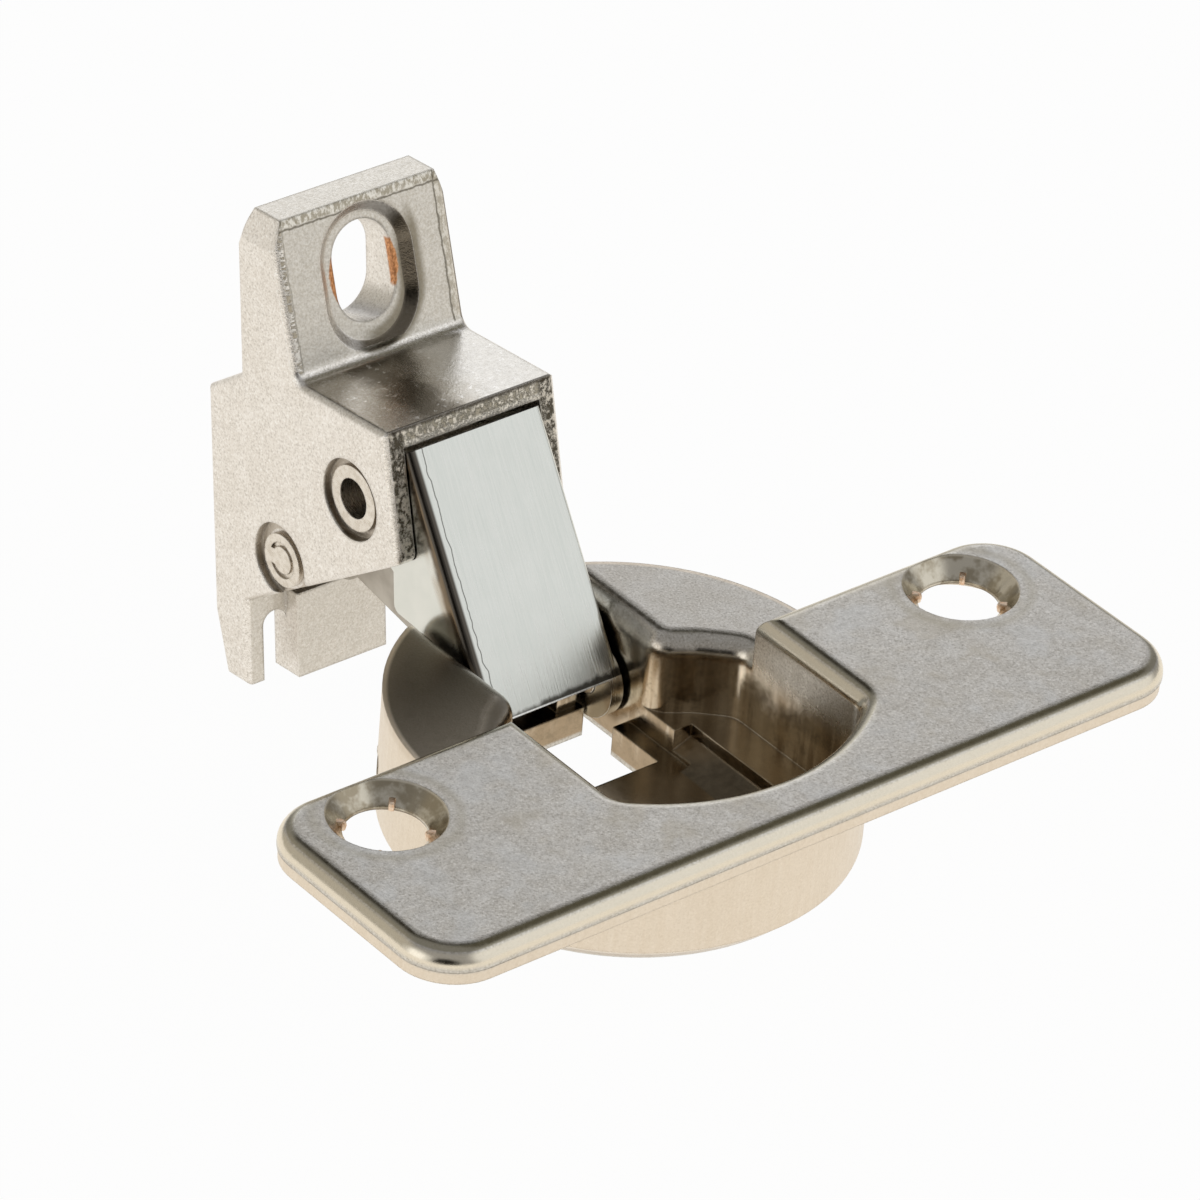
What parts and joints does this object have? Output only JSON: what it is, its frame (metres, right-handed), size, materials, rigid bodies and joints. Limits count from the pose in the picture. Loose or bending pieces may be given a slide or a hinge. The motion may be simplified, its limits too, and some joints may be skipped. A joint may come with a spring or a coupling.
{
  "type": "washing machine door hinge",
  "caption": "Concealed cup hinge for an appliance door: a screw plate with a round cup, a folded outer link, a hidden inner link and an arm with a slotted tab that bolts to the body.",
  "frame": {"origin": "centre of the cup, on the plane of the door's face that the screw plate lies on", "axes": "+X along the screw plate, +Y to the side the arm is on, +Z away from the door; the hinge is fully open"},
  "size_m": [0.0676, 0.0621, 0.0401],
  "materials": {
    "casting": "satin nickel on zinc casting",
    "sheet": "nickel plated sheet",
    "pin": "plain steel"
  },
  "bodies": {
    "cup": {"cup_plate": "casting", "cup_outer_pins": "pin", "cup_inner_pin": "pin"},
    "outer_link": {"outer_link": "sheet"},
    "arm": {"arm_bracket": "casting", "arm_rivet": "pin", "arm_pin": "pin"},
    "inner_link": {"inner_link": "sheet"}
  },
  "joints": [
    {"name": "outer_pivot", "type": "hinge", "parent": "cup", "child": "outer_link", "pos_m": [0, 0.0105, -0.00675], "axis": [1, 0, 0], "range_deg": [0, 104]},
    {"name": "arm_pivot", "type": "hinge", "parent": "outer_link", "child": "arm", "pos_m": [0, 0.02314, 0.00617], "axis": [1, 0, 0], "range_deg": [-7.45, 0]},
    {"name": "inner_pivot", "type": "hinge", "parent": "cup", "child": "inner_link", "pos_m": [0, 0.0126, -0.00555], "axis": [1, 0, 0], "range_deg": [0, 112.7]}
  ],
  "couplings": [
    {"joint": "arm_pivot", "follows": "outer_pivot", "ratio": -0.0715},
    {"joint": "inner_pivot", "follows": "outer_pivot", "ratio": 1.083}
  ]
}
